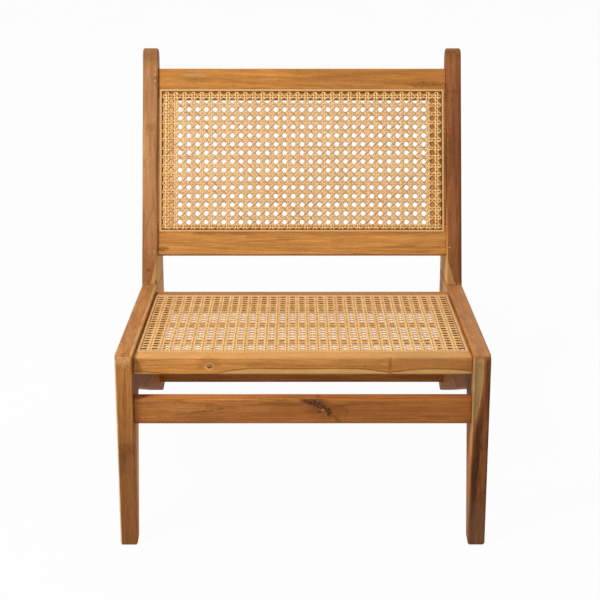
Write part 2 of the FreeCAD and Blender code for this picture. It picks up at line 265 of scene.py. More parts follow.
OIL_BROWN = paint(112, 66, 36)
WORN_PALE = paint(214, 184, 138)
# Painted shade: the red-brown that darkens the legs' inner faces high up, under the seat
UNDER_SEAT_SHADE_RED = paint(126, 70, 34)
SAP_GOLD = paint(206, 160, 96)
SAP_PALE = paint(178, 136, 84)
SAP_GREY = paint(122, 98, 66)
KNOT_DARK = paint(66, 40, 22)

# How much darker each board is on the ledge under the seat's cane: painted shade under the cane
LEDGE_SHADES = {
    "seat_rail_front": 0.66,
    "seat_rail_rear": 0.4,
    "seat_stile_left": 0.88,
    "seat_stile_right": 0.8,
}


class Board(Finish):
    """Teak, with measures in millimetres from its middle: along the grain, across it and deep."""

    def __init__(self, node, grain, face, seed):
        super().__init__(node + "_teak")
        self.spot = self.spot_in_mm()
        low, high = (Vector(corner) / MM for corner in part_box(node))
        middle = (low + high) / 2
        side = Vector(face).cross(Vector(grain)).normalized()
        self.along = self.dot(self.spot, grain) - middle.dot(Vector(grain))
        self.across = self.dot(self.spot, side) - middle.dot(side)
        self.depth = self.dot(self.spot, face) - middle.dot(Vector(face))
        self.x = self.dot(self.spot, ACROSS)
        self.y = self.dot(self.spot, REARWARD)
        self.z = self.dot(self.spot, UPWARD)
        self.seed = seed * 137.0

    def fibre_noise(self, length, width, detail=2.0, roughness=0.5, offset=0.0):
        """Noise drawn out along the grain, with a length and a width in millimetres."""
        spot = self.joined(
            (self.along + self.seed + offset) / length,
            (self.across + self.seed + offset) / width,
            (self.depth - offset) / width,
        )
        return self.noise(spot, 1.0, detail, roughness)

    def rings(self, gap, pith, sway):
        """Growth rings about a wandering pith: 0 in pale wood, up to 1 at each dark line."""
        side = self.across - pith[0] + self.fibre_noise(420.0, 160.0, 1.0, offset=11.0) * sway
        deep = self.depth - pith[1] + self.fibre_noise(420.0, 160.0, 1.0, offset=57.0) * sway
        reach = (side * side + deep * deep).root()
        reach = reach + self.fibre_noise(80.0, 9.0, 2.0, offset=91.0) * gap * 1.1
        phase = (reach / gap).fraction()
        strength = self.noise(self.joined(reach / (gap * 3.1), self.seed, 0.0), 1.0, 1.0) * 1.4 + 0.6
        return phase * phase.rise(1, 0.82) * strength.at_least(0.0)

    def teak(self, tone, gap=7.0, pith=(60.0, 34.0), sway=16.0, contrast=1.0):
        """Colour of oiled teak: growth rings and fine lines under broad darker streaks."""
        rings = self.rings(gap, pith, sway)
        broad = self.fibre_noise(170.0, 11.0, 2.0, offset=23.0)
        narrow = self.fibre_noise(90.0, 2.6, 3.0, 0.6, offset=71.0)
        lines = self.fibre_noise(60.0, 1.5, 2.0, 0.6, offset=83.0).rise(0.2, 0.55)
        share = (rings * 0.75 + broad * 0.75 + narrow * 0.5 + lines * 0.35 - 0.2) * contrast + 0.4
        colour = self.blend(share, toned(tone, 1.26), toned(tone, 0.6))
        return self.blend(self.noise(self.spot, 0.02, 2.0) * 0.5, colour, toned(tone, 0.78))

    def ledge_shaded(self, colour, shade):
        """Colour made darker by a share on the ledge that the seat's cane covers: painted shade under the
        cane.
        """
        low, high = (Vector(corner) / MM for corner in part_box("seat_cane"))
        middle = (low + high) / 2
        reach = (high - low) / 2
        inside = (abs(self.x) - reach.x).rise(-1, -3)
        covered = inside * (abs(self.y - middle.y) - reach.y).rise(-1, -3)
        return self.scaled(colour, 1.0 - covered * shade)

    def patch(self, middle, reach, ragged=0.35):
        """1 within a ragged-edged oval about a point of the chair, falling to 0 at its reach."""
        distance = 0.0
        for place, centre, size in zip((self.x, self.y, self.z), middle, reach):
            offset = (place - centre) / size
            distance = distance + offset * offset
        return (distance.root() + self.noise(self.spot, 0.16, 3.0) * ragged).rise(1, 0.55)

    def curl(self, size, squeeze, count):
        """Curling figure: dark lines round the slow swells of the grain."""
        spot = self.joined(
            (self.along + self.seed) / (size * 3.0),
            (self.across + self.seed) * squeeze / size,
            self.depth / size,
        )
        return (self.noise(spot, 1.0, 1.0) * count).fraction().rise(0.45, 1)

    def scuff(self, middle, reach, ragged=0.6):
        """Speckled wear in a ragged oval."""
        speckle = self.noise(self.spot, 0.55, 3.0, 0.6).rise(-0.12, 0.3)
        return self.patch(middle, reach, ragged) * speckle

    def knot(self, colour, middle, size):
        """Adds a small knot: a dark hook in a pale ragged ring, with a brown halo above."""
        x, y, z = middle
        deep = 3.0 * size
        streaky = self.fibre_noise(16.0, 2.4, 3.0, 0.6, offset=41.0) * 0.8 + 0.75
        halo = self.patch((x - size * 0.4, y, z + size), (size * 3.4, deep, size * 2.2), 0.9)
        colour = self.blend(halo * streaky * 0.5, colour, paint(152, 84, 40))
        lip = self.patch((x, y, z), (size * 1.6, deep, size * 1.25), 0.4)
        colour = self.blend(lip * 0.85, colour, paint(208, 156, 92))
        ragged = self.noise(self.spot, 0.3, 3.0) * 0.4
        away = (((self.x - x) / size) ** 2.0 + ((self.z - z) / (size * 0.8)) ** 2.0).root() + ragged
        hook = away.near(0.62, 0.36) * (self.z - z + (self.x - x) * 0.5).rise(-0.35 * size, 0.2 * size)
        heart = self.patch((x, y, z - size * 0.1), (size * 0.5, deep, size * 0.4), 0.6)
        return self.blend(hook.at_least(heart) * 0.85, colour, KNOT_DARK)

    def rubbed(self, tone):
        """Tone of a sanded face, with soft grain in it."""
        grain = self.fibre_noise(120.0, 6.0, 3.0, 0.6, offset=37.0)
        lines = self.fibre_noise(70.0, 1.8, 2.0, 0.6, offset=53.0)
        return self.scaled(paint(*tone)[:3], 0.98 + grain * 0.5 + lines * 0.25)

    def end_joints(self):
        """1 in the thin dark joints at both ends of a board that runs across the chair."""
        return abs(self.x).rise(INNER_FACE_X - 1.6, INNER_FACE_X - 0.6)

    def inner_face(self):
        """1 on the face of a side frame's board that looks into the chair."""
        return abs(self.x).rise(INNER_FACE_X + 1.6, INNER_FACE_X + 0.4)

    def behind_front(self):
        """How far a place lies behind the leaning front face of the front legs."""
        return self.y - FRONT_FACE_Y - self.z * FRONT_LEAN_SHARE

    def post_foot_front(self):
        """1 on the front face of a post's lowest part, 0 behind it."""
        return self.y.rise(POST_FOOT_Y + 6.0, POST_FOOT_Y - 6.0)

    def worn_edges(self):
        """1 on the rounded edges, 0 on flat faces."""
        bevel = self.node("ShaderNodeBevel", {"samples": 6}, {"Radius": EDGE_SOFTNESS})
        flat = self.node("ShaderNodeNewGeometry").outputs["Normal"]
        node = self.vector_math("DOT_PRODUCT", {0: bevel.outputs[0], 1: flat})
        self.soft_normal = bevel.outputs[0]
        return (1.0 - Value(self, node.outputs["Value"])).rise(0, 0.06)

    def oiled(self, colour, edge_tone):
        """Adds fibres, pores and worn edges to a colour, and ends the material."""
        streaks = self.fibre_noise(46.0, 1.3, 3.0, 0.6)
        pores = self.fibre_noise(9.0, 0.42, 2.0, 0.55, offset=33.0).rise(0.12, 0.5)
        dashes = self.fibre_noise(15.0, 1.5, 2.0, 0.6, offset=47.0).rise(0.16, 0.5)
        cloud = self.noise(self.spot, 0.014, 2.0)
        mottle = self.noise(self.spot, 0.22, 3.0, 0.6)
        colour = self.scaled(colour, 1.04 + streaks * 0.34 + cloud * 0.16 + mottle * 0.16)
        colour = self.blend(pores * 0.2 + dashes * 0.4, colour, self.scaled(colour, 0.42))
        wear = self.worn_edges() * (0.7 + self.noise(self.spot, 0.09, 3.0) * 0.6)
        colour = self.scaled(colour, 1.0 + wear * (edge_tone - 1.0))
        roughness = TEAK_ROUGHNESS + pores * 0.16 - streaks * 0.06 + cloud * 0.05
        height = streaks * 0.35 - pores * 0.65
        return self.surface(
            colour, roughness, height, 0.12 * MM, normal=self.soft_normal, Specular_IOR_Level=TEAK_SPECULAR
        )


LEG_GRAIN = side_run(LEG_SLOPE)
RAIL_GRAIN = side_run(RAIL_GRAIN_SLOPE)
FOOT_GRAIN = side_run(FOOT_GRAIN_SLOPE)
POST_GRAIN = side_run(POST_SLOPE)
SEAT_RUN = side_run(SEAT_SLOPE)
SEAT_FACE = side_run(SEAT_SLOPE + 90)
BACK_FACE = side_run(POST_SLOPE + 90)


def left_leg():
    """Golden at the top, browner towards the foot, scuffed pale on the nose, rubbed inside, and with
    painted shade high on its inner face under the seat.
    """
    board = Board("front_leg_left", LEG_GRAIN, ACROSS, 1)
    colour = board.teak((176, 116, 60), 7.0, (30.0, 90.0), contrast=0.8)
    low = (board.z + board.noise(board.spot, 0.03, 2.0) * 40.0).rise(250, 170)
    colour = board.blend(low * 0.6, colour, paint(116, 74, 46))
    smudge = board.patch((-296, -372, 146), (12, 40, 26), 0.6)
    colour = board.blend(smudge * 0.4, colour, OIL_BROWN)
    scuffs = board.scuff((-287, -362, 325), (17, 24, 14))
    colour = board.blend(scuffs * 0.55, colour, WORN_PALE)
    back_share = board.behind_front() / (board.z * 0.19 + 32.0)
    front_half, back_half = board.rubbed((172, 98, 36)), board.rubbed((228, 174, 108))
    sanded = board.blend(back_share.rise(0.45, 0.7), front_half, back_half)
    # Painted shade under the seat: high on the inner face the tone turns dark red-brown.
    sanded = board.blend(board.z.rise(215, 190), UNDER_SEAT_SHADE_RED, sanded)
    colour = board.blend(board.inner_face() * 0.85, colour, sanded)
    stain = board.patch((-284, -370, 168), (20, 40, 16), 0.9)
    colour = board.blend(stain * 0.45, colour, paint(112, 64, 36))
    # Pale outer front arris: wear, and partly a painted highlight where the light from the left catches the
    # edge.
    outer_edge_wear_and_highlight = board.x.rise(-297.6, -298.8) * board.behind_front().rise(5, 1.5)
    colour = board.blend(outer_edge_wear_and_highlight * 0.75, colour, paint(236, 206, 164))
    return board.oiled(colour, 1.3)


def right_leg():
    """Dark heartwood with streaks, and a wedge of grey sapwood down its inner front edge."""
    board = Board("front_leg_right", LEG_GRAIN, ACROSS, 2)
    colour = board.teak((118, 70, 38), 9.0, (40.0, -75.0), contrast=1.2)
    warm = board.fibre_noise(170.0, 8.0, 2.0, offset=61.0).rise(0, 0.4) * board.z.rise(60, 160)
    colour = board.blend(warm * 0.5, colour, paint(158, 92, 44))
    core = board.x - 281.0 - (board.z - 150.0) * 0.035 + board.fibre_noise(70.0, 12.0, 3.0) * 5.0
    core = core.near(0, 8) * board.z.rise(250, 190)
    colour = board.blend(core * 0.85, colour, paint(62, 38, 24))
    streaks = board.fibre_noise(110.0, 4.0, 3.0, 0.6, offset=5.0).rise(0.08, 0.4)
    colour = board.blend(streaks * 0.6, colour, paint(60, 37, 22))
    slanting = board.x / 4.5 + board.y / 9.0 - board.z / 52.0
    drawn = board.joined(slanting, board.z / 30.0 + board.y / 70.0, board.seed)
    flow = board.noise(drawn, 1.0, 4.0, 0.7)
    colour = board.blend(flow.rise(0.02, 0.4) * board.z.rise(260, 200) * 0.6, colour, paint(50, 31, 20))
    widening = board.z.rise(162, 294)
    edge = 271.4 + widening * (17.4 + board.fibre_noise(60.0, 8.0, 2.0) * 2.4)
    at_front = board.behind_front().rise(26, 12)
    below_nose = board.z.rise(330, 325)
    sap = (edge - board.x).rise(-0.7, 0.7) * at_front * below_nose
    sap_tone = (board.x - INNER_FACE_X) / 14.0 + board.fibre_noise(90.0, 3.0, 3.0, 0.6, offset=15.0) * 1.3
    colour = board.blend(sap, colour, board.blend(sap_tone, SAP_GREY, SAP_PALE))
    warm_edge = (edge - board.x + 1.6).near(0, 2.4) * at_front * below_nose
    colour = board.blend(warm_edge * board.z.rise(130, 175) * 0.5, colour, paint(166, 96, 46))
    nose = board.z.rise(322, 331)
    colour = board.blend(nose * 0.6, colour, paint(148, 98, 60))
    colour = board.blend(board.z.near(332.6, 1.8) * 0.7, colour, OIL_BROWN)
    # Painted shade under the seat: high on the inner face the tone turns dark red-brown.
    sanded = board.blend(board.z.rise(215, 190), UNDER_SEAT_SHADE_RED, board.rubbed((188, 116, 46)))
    colour = board.blend(board.inner_face() * 0.85, colour, sanded)
    rim = board.x.near(272.8, 2.4) * at_front
    colour = board.blend(rim * board.z.rise(120, 190) * 0.55, colour, paint(210, 156, 98))
    colour = board.blend(rim * board.z.rise(190, 120) * 0.5, colour, paint(146, 92, 62))
    colour = board.blend(board.z.rise(110, 30) * 0.55, colour, paint(118, 84, 60))
    return board.oiled(colour, 1.2)


def left_post():
    """Straight pale grain above, curling figure below, and a wedge of sapwood at its foot."""
    board = Board("back_post_left", POST_GRAIN, ACROSS, 3)
    colour = board.teak((170, 120, 78), 5.0, (90.0, 20.0), 10.0, 0.9)
    colour = board.blend(board.z.rise(618, 652) * 0.5, colour, OIL_BROWN)
    curl = board.curl(44.0, 0.9, 4.0) * board.z.rise(560, 480) * board.z.rise(280, 320)
    colour = board.blend(curl * 0.34, colour, paint(130, 78, 42))
    gleam = board.patch((-292, 262, 482), (9, 60, 34), 0.9)
    colour = board.blend(gleam * 0.3, colour, paint(212, 160, 102))
    shade = board.patch((-282, 276, 524), (16, 60, 9), 0.9)
    colour = board.blend(shade * 0.3, colour, paint(128, 72, 40))
    pin_shade = board.patch((-276, 318, 608), (7, 60, 16), 0.8)
    colour = board.blend(pin_shade * 0.35, colour, paint(118, 64, 36))
    colour = board.blend(board.z.rise(420, 330) * 0.3, colour, paint(146, 92, 54))
    edge = board.x.rise(-292, -299) * board.z.rise(420, 300)
    colour = board.blend(edge * 0.5, colour, paint(136, 72, 34))
    foot = board.patch((-288, 166, 270), (20, 60, 60), 0.5)
    colour = board.blend(foot * 0.45, colour, paint(140, 82, 40))
    reach = (299.0 - board.z) * 0.27 + board.fibre_noise(30.0, 6.0, 2.0) * 1.5
    wedge = (board.x + 272.5 + reach).rise(-0.6, 0.8) * board.z.rise(299, 295)
    colour = board.blend(wedge * board.post_foot_front() * 0.8, colour, paint(196, 152, 90))
    colour = board.blend(board.patch((-273, 158, 257), (3.4, 8, 8)) * 0.85, colour, KNOT_DARK)
    streak = board.patch((-289, 168, 278), (5, 9, 5), 0.7)
    colour = board.blend(streak * 0.6, colour, paint(116, 58, 32))
    scuffs = board.scuff((-295, 158, 254), (6, 6, 3.4))
    colour = board.blend(scuffs * 0.7, colour, WORN_PALE)
    inner = board.inner_face() * board.z.rise(420, 330)
    return board.oiled(board.blend(inner * 0.9, colour, board.rubbed((224, 168, 98))), 1.3)


def right_post():
    """Redder and darker than its twin, with an orange inner edge and a sapwood wedge below."""
    board = Board("back_post_right", POST_GRAIN, ACROSS, 4)
    colour = board.teak((146, 91, 54), 6.0, (80.0, -30.0), 12.0, 0.9)
    colour = board.blend(board.z.rise(589, 586) * 0.12, colour, paint(84, 44, 24))
    colour = board.blend(board.z.near(587, 2) * 0.3, colour, paint(70, 38, 22))
    seam = board.x.rise(273.4, 272.2) * board.z.near(455, 180)
    colour = board.blend(seam * 0.7, colour, paint(92, 52, 30))
    dark = board.patch((288, 280, 480), (14, 60, 90), 0.5)
    colour = board.blend(dark * 0.35, colour, paint(96, 52, 28))
    # Painted shade: the outer right edge is darker, turned away from the light from the left.
    colour = board.blend(board.x.rise(292, 299) * 0.45, colour, paint(96, 48, 24))
    colour = board.blend(board.z.rise(636, 652) * 0.4, colour, OIL_BROWN)
    strip = board.x.near(272, 3.6) * board.z.near(310, 52)
    colour = board.blend(strip * 0.75, colour, paint(206, 138, 66))
    reach = (304.0 - board.z) * 0.32 + 271.5 + board.fibre_noise(30.0, 6.0, 2.0) * 2.0
    wedge = (reach - board.x).rise(-0.6, 0.8) * board.z.rise(306, 300)
    colour = board.blend(wedge * board.post_foot_front() * 0.75, colour, paint(182, 138, 80))
    scuffs = board.scuff((290, 156.5, 254.5), (9, 5, 3.4))
    colour = board.blend(scuffs * 0.65, colour, WORN_PALE)
    inner = board.inner_face() * board.z.rise(420, 330)
    return board.oiled(board.blend(inner * 0.9, colour, board.rubbed((228, 170, 96))), 1.15)


def side_rail(side):
    """Long board of a side frame, speckled with wear on top, sanded inside, and painted paler on its inner
    face at the rear as painted light.
    """
    sign = -1 if side == "left" else 1
    board = Board("side_rail_" + side, RAIL_GRAIN, ACROSS, 5 + sign)
    tone = (170, 113, 62) if side == "left" else (165, 111, 65)
    colour = board.teak(tone, 8.0, (140.0, 20.0 * sign), 22.0, 0.8)
    top = NOSE_Z - (board.y - NOSE_Y) * math.tan(math.radians(-SEAT_SLOPE))
    on_top = (top - board.z).rise(5, 2)
    speckle = board.fibre_noise(9.0, 2.2, 3.0, 0.6, offset=19.0).rise(0.05, 0.45)
    colour = board.blend(speckle * on_top * 0.35, colour, paint(212, 168, 116))
    if side == "left":
        rubbed = abs(board.x).rise(277, 274) * (top - board.z).rise(6, 2)
        colour = board.blend(rubbed * 0.7, colour, paint(218, 170, 102))
        redden = board.patch((-284, -150, 300), (14, 60, 40), 0.6)
        colour = board.blend(redden * 0.4, colour, paint(150, 84, 40))
    else:
        curl = board.curl(16.0, 0.8, 5.0) * on_top * board.y.rise(-20, 40)
        colour = board.blend(curl * 0.45, colour, paint(124, 76, 40))
    inner = board.inner_face() * (top - board.z).rise(4, 9)
    sanded = board.rubbed((146, 86, 32) if side == "left" else (142, 84, 36))
    # Painted light: the inner face is made paler at the rear, where it lies in shade.
    sanded = board.blend(board.y.rise(90, 130), sanded, board.rubbed((214, 158, 88)))
    return board.oiled(board.blend(inner * 0.85, colour, sanded), 1.25)


def rear_foot(side):
    """Brown board glued under the side rail, with a pale line of old glue along the seam, and a sole
    painted with the floor's contact shadow on the left foot and its pale reflection on the right.
    """
    board = Board("rear_foot_" + side, FOOT_GRAIN, ACROSS, 21 if side == "left" else 22)
    colour = board.teak((142, 86, 44) if side == "left" else (146, 92, 52))
    inner = board.inner_face()
    sanded = board.rubbed((168, 96, 32) if side == "left" else (168, 110, 56))
    colour = board.blend(inner * 0.85, colour, sanded)
    seam_height = SEAM_REAR_Z + (SEAM_REAR_Y - board.y) * SEAM_RISE
    glue = (seam_height - board.z).near(0, 4)
    colour = board.blend(glue * inner * 0.6, colour, paint(200, 142, 84))
    # Painted light at the sole: near black on the left foot as the painted shadow where it meets the floor,
    # pale on the right foot as a painted reflection of the floor.
    painted_contact_mask = board.z.rise(18, 9) * abs(board.x).rise(280, 274)
    painted_contact_tone = paint(46, 33, 26) if side == "left" else paint(188, 176, 158)
    return board.oiled(board.blend(painted_contact_mask * 0.85, colour, painted_contact_tone), 1.2)


def stretcher():
    """Reddish board, lighter to the left, with wavy dark streaks and a ragged dark knot."""
    board = Board("front_stretcher", ACROSS, REARWARD, 12)
    colour = board.teak((180, 114, 59), 6.5, (14.0, 50.0), 26.0)
    colour = board.blend(board.x.rise(-160, 40) * 0.45, colour, paint(136, 78, 38))
    light = board.patch((-205, -358, 241), (70, 14, 9), 0.5)
    colour = board.blend(light * 0.45, colour, paint(200, 140, 76))
    streaks = board.fibre_noise(120.0, 4.5, 3.0, 0.6, offset=9.0).rise(0.12, 0.42)
    colour = board.blend(streaks * 0.4, colour, paint(104, 58, 28))
    wave = board.x.rise(-265, -125) * 18.0 + 219.5 + board.noise(board.spot, 0.06, 3.0) * 7.0
    above = board.z - wave
    below_wave = above.rise(2, -8) * board.x.rise(-60, -150)
    colour = board.blend(below_wave * 0.4, colour, paint(128, 72, 36))
    broken = board.noise(board.spot, 0.2).rise(-0.4, 0.2)
    line = above.near(0, 1.8) * board.x.rise(-60, -130) * broken
    colour = board.blend(line * 0.6, colour, paint(84, 46, 24))
    flecks = board.scuff((-90, -354, 253.5), (90, 5, 3), 0.9)
    colour = board.blend(flecks * 0.45, colour, paint(214, 164, 106))
    halo = board.patch((40, -358, 234), (42, 12, 16), 0.5)
    colour = board.blend(halo * 0.4, colour, paint(112, 58, 28))
    colour = board.blend(stretcher_knot(board), colour, paint(46, 33, 27))
    ember = board.patch((32.5, -358, 235.5), (3.2, 12, 2.6), 1.2)
    colour = board.blend(ember * 0.8, colour, paint(196, 116, 50))
    colour = board.blend(board.end_joints() * 0.6, colour, paint(84, 48, 28))
    return board.oiled(colour, 1.25)


def stretcher_knot(board):
    """Ragged dark knot: a mottled wedge below the upper edge, a slanting band, and two dark ends."""
    ragged = board.noise(board.spot, 0.34, 4.0, 0.7)
    mottle = (0.9 + ragged * 1.7).at_most(1.0).at_least(0.2)
    wedge = (board.z - 251.0 + (board.x + 2.0) * 0.4 + ragged * 3.0).rise(-4, 2.5)
    wedge = wedge * board.x.rise(-14, 6) * board.x.rise(50, 18) * board.y.rise(-354, -357)
    band = board.z - 246.0 + (board.x - 29.0) * 1.05 + ragged * 6.0
    band = band.near(0, 7.5) * board.x.rise(20, 27) * board.x.rise(48, 42)
    left_end = board.patch((27.5, -358, 231.5), (5.5, 12, 3.4), 1.6) * mottle
    right_end = board.patch((42, -358, 231.5), (5, 12, 7), 1.6) * mottle
    trace = board.z - 222.0 + (board.x - 52.0) * 0.9 + ragged * 5.0
    trace = trace.near(0, 5) * board.x.rise(44, 50) * board.x.rise(66, 58)
    line = board.z - 243.5 - ((board.x - 62.0) / 26.0) ** 2.0 * 4.0 + ragged * 2.0
    line = line.near(0, 1.8) * board.x.near(68, 28)
    marks = (wedge * mottle).at_least(band * mottle).at_least(left_end).at_least(right_end)
    return marks.at_least(trace * 0.45).at_least(line * 0.6) * 0.88


def front_seat_rail():
    """Golden board with a small knot, and arches of sapwood along its lower edge."""
    board = Board("seat_rail_front", ACROSS, SEAT_FACE, 13)
    colour = board.teak((187, 125, 63), 7.0, (10.0, 56.0), 18.0, 1.05)
    colour = board.blend(board.x.rise(-60, 240) * 0.5, colour, paint(142, 88, 44))
    # Painted light from above: the top face is made paler than the front.
    top = board.y.rise(-345, -339)
    colour = board.blend(top * 0.4, colour, paint(218, 172, 108))
    scar = board.patch((140, -344, 309), (3.4, 12, 16), 0.6)
    colour = board.blend(scar * 0.45, colour, paint(146, 80, 38))
    flames = board.fibre_noise(40.0, 2.4, 3.0, 0.6, offset=33.0).rise(0, 0.35)
    flames = flames * board.patch((160, -344, 320), (34, 12, 7), 0.5)
    colour = board.blend(flames * 0.6, colour, paint(146, 78, 34))
    rising = ((board.x + 138.0) / 50.0).at_least(0.0).at_most(1.0).root()
    falling = (1.0 - ((board.x + 37.0).at_least(0.0) / 190.0) ** 6.0).at_least(0.0)
    second = (1.0 - ((board.x - 214.0) / 71.0) ** 2.0).at_least(0.0).root()
    left = ((-200.0 - board.x) / 60.0).at_least(0.0).at_most(1.0)
    arches = rising * falling * 10.4 + second * 10.0 + left * 5.8
    arch = arches + 292.0 + board.fibre_noise(60.0, 10.0, 2.0)
    front = board.y.rise(-336, -340)
    colour = board.blend((arch - board.z).rise(0, 1.4) * front * 0.8, colour, SAP_GOLD)
    colour = board.blend((board.z - arch - 0.6).near(0, 1.6) * front * 0.65, colour, OIL_BROWN)
    pale = board.patch((131, -343, 310), (7, 12, 3.6), 0.6)
    colour = board.blend(pale * 0.35, colour, SAP_GOLD)
    colour = board.ledge_shaded(colour, LEDGE_SHADES["seat_rail_front"])
    colour = board.blend(board.end_joints() * 0.6, colour, paint(92, 54, 30))
    return board.oiled(board.knot(colour, (-150.5, -344.5, 305.5), 6.6), 1.25)


def back_rail(end):
    """Golden rail of the back. The top one is a little darker to the right."""
    board = Board("back_rail_" + end, ACROSS, BACK_FACE, 15 if end == "top" else 16)
    if end == "top":
        colour = board.teak((184, 124, 62), 8.0, (34.0, 70.0), 20.0, 0.9)
        colour = board.blend(board.x.rise(-80, 260) * 0.4, colour, paint(144, 90, 44))
        flame = board.fibre_noise(44.0, 3.0, 3.0, 0.65, offset=29.0).rise(0.1, 0.45)
        colour = board.blend(flame * board.z.rise(616, 598) * 0.35, colour, paint(150, 82, 38))
        light = board.patch((-205, 340, 612), (34, 30, 4), 0.7)
        colour = board.blend(light * 0.3, colour, WORN_PALE)
        stain = board.patch((232, 312, 596), (50, 30, 5), 0.9)
        colour = board.blend(stain * 0.5, colour, paint(104, 60, 34))
        colour = board.blend(board.end_joints() * 0.7, colour, paint(84, 50, 30))
        return board.oiled(colour, 1.2)
    colour = board.teak((194, 134, 70), 8.0, (34.0, 70.0), 20.0, 0.9)
    swirl = board.patch((-262, 190, 312), (14, 20, 5), 0.7)
    colour = board.blend(swirl * 0.6, colour, paint(108, 56, 26))
    line = (board.z - 313.0 - board.x * 0.008).near(0, 1.6) * board.x.rise(60, 150)
    colour = board.blend(line * 0.45, colour, paint(120, 66, 32))
    return board.oiled(board.blend(board.end_joints() * 0.7, colour, paint(92, 54, 30)), 1.2)


def dress(node, material):
    """Gives a node of the frame its only material."""
    nodes[node].data.materials.clear()
    nodes[node].data.materials.append(material)


def plain_board(node, grain, face, seed, tone):
    """Teak board with its grain, and with a darker ledge of painted shade where the seat's cane covers it.
    """
    board = Board(node, grain, face, seed)
    colour = board.teak(tone)
    if node in LEDGE_SHADES:
        colour = board.ledge_shaded(colour, LEDGE_SHADES[node])
    return board.oiled(colour, 1.2)


def finish_boards():
    """Gives every wooden node its own board."""
    raw = (176, 124, 76)
    finishes = {
        "front_leg_left": left_leg(),
        "front_leg_right": right_leg(),
        "back_post_left": left_post(),
        "back_post_right": right_post(),
        "side_rail_left": side_rail("left"),
        "side_rail_right": side_rail("right"),
        "rear_foot_left": rear_foot("left"),
        "rear_foot_right": rear_foot("right"),
        "front_stretcher": stretcher(),
        "seat_rail_front": front_seat_rail(),
        "back_rail_top": back_rail("top"),
        "back_rail_bottom": back_rail("bottom"),
    }
    plain = {
        "leg_tenon_left": (LEG_GRAIN, ACROSS, 23, raw),
        "leg_tenon_right": (LEG_GRAIN, ACROSS, 24, raw),
        "post_tenons_left": (POST_GRAIN, ACROSS, 25, raw),
        "post_tenons_right": (POST_GRAIN, ACROSS, 26, raw),
        "rear_stretcher": (ACROSS, REARWARD, 27, (181, 117, 63)),
        # The rear seat rail's raised tone is painted light, for the shade it lies in under the cane.
        "seat_rail_rear": (ACROSS, SEAT_FACE, 28, (176, 122, 74)),
        "seat_stile_left": (SEAT_RUN, SEAT_FACE, 29, (176, 110, 54)),
        # The right seat stile's raised tone is painted light from the left.
        "seat_stile_right": (SEAT_RUN, SEAT_FACE, 30, (190, 126, 66)),
        # The slats' pale tone is painted light, for the shade they lie in under the cane.
        "seat_slat_front": (ACROSS, SEAT_FACE, 31, (232, 182, 120)),
        "seat_slat_rear": (ACROSS, SEAT_FACE, 32, (232, 182, 120)),
        # The left back stile's pale tone is painted light from the left.
        "back_stile_left": (POST_GRAIN, BACK_FACE, 33, (224, 172, 114)),
        "back_stile_right": (POST_GRAIN, BACK_FACE, 34, (178, 122, 66)),
    }
    for node, facts in plain.items():
        finishes[node] = plain_board(node, *facts)
    for node, material in finishes.items():
        dress(node, material)


finish_boards()


# Reed splines and brads

def reed_finish():
    """Pale split reed, with fine fibres along its length and a few brown flecks."""
    reed = Finish("spline_reed")
    spot = reed.spot_in_mm()
    cloud = reed.noise(spot, 0.02, 3.0)
    grain = reed.noise(spot, 0.9, 3.0, 0.6)
    flecks = reed.noise(spot, 0.16, 4.0, 0.7).rise(0.28, 0.62)
    colour = reed.blend(cloud * 0.5 + 0.5, paint(200, 152, 92), paint(222, 174, 110))
    colour = reed.scaled(colour, 1.0 + grain * 0.08)
    colour = reed.blend(flecks * 0.5, colour, paint(178, 122, 70))
    return reed.surface(colour, 0.42 + grain * 0.08, grain, 0.06 * MM)


def steel_finish():
    """Bright steel of a small brad's head."""
    steel = Finish("brad_steel")
    scuffs = steel.noise(steel.spot_in_mm(), 2.2, 3.0)
    colour = steel.blend(scuffs * 0.5 + 0.5, paint(150, 148, 146), paint(212, 212, 212))
    return steel.surface(colour, 0.34 + scuffs * 0.12, scuffs, 0.02 * MM, Metallic=1.0)


reed = reed_finish()
for name in nodes:
    if "spline" in name:
        dress(name, reed)
dress("tenon_brads", steel_finish())


# Cane

STRAND_WIDTH = 3.05 * MM
STRAND_THICKNESS = 0.95 * MM
WEAVE_LIFT = 0.48 * MM
SHEET_TOP = 2.0 * MM
CANE_SPECULAR = 0.25
LIP_DEPTH = 6.6 * MM
LIP_THICKNESS = 2.0 * MM
# How far each strand of a pair lies from the middle of the pair, as a share of the pitch
PAIR_SHARE = 0.138
SHORTEST_STRAND = 14 * MM
END_MARGIN = 2.2 * MM
EDGE_INSET = 2.6 * MM
JOINT_GAP_MM = 310.0
# Lowest and highest tone of each kind of strand: 0 is brown and 1 is pale. Each strand draws its own tone
# within its kind's range; the paler lengthwise and browner slanted ranges are partly painted light and
# shade.
STRAND_TONES = {
    "lengthwise": (0.55, 1.0),
    "crosswise": (0.3, 0.78),
    "rising": (0.0, 0.5),
    "falling": (0.05, 0.5),
}
# Flat oval outline of a strand, in shares of its width and thickness
STRAND_SECTION = ((-0.5, -0.06), (-0.27, 0.46), (0.27, 0.46), (0.5, -0.06), (0.3, -0.5), (-0.3, -0.5))


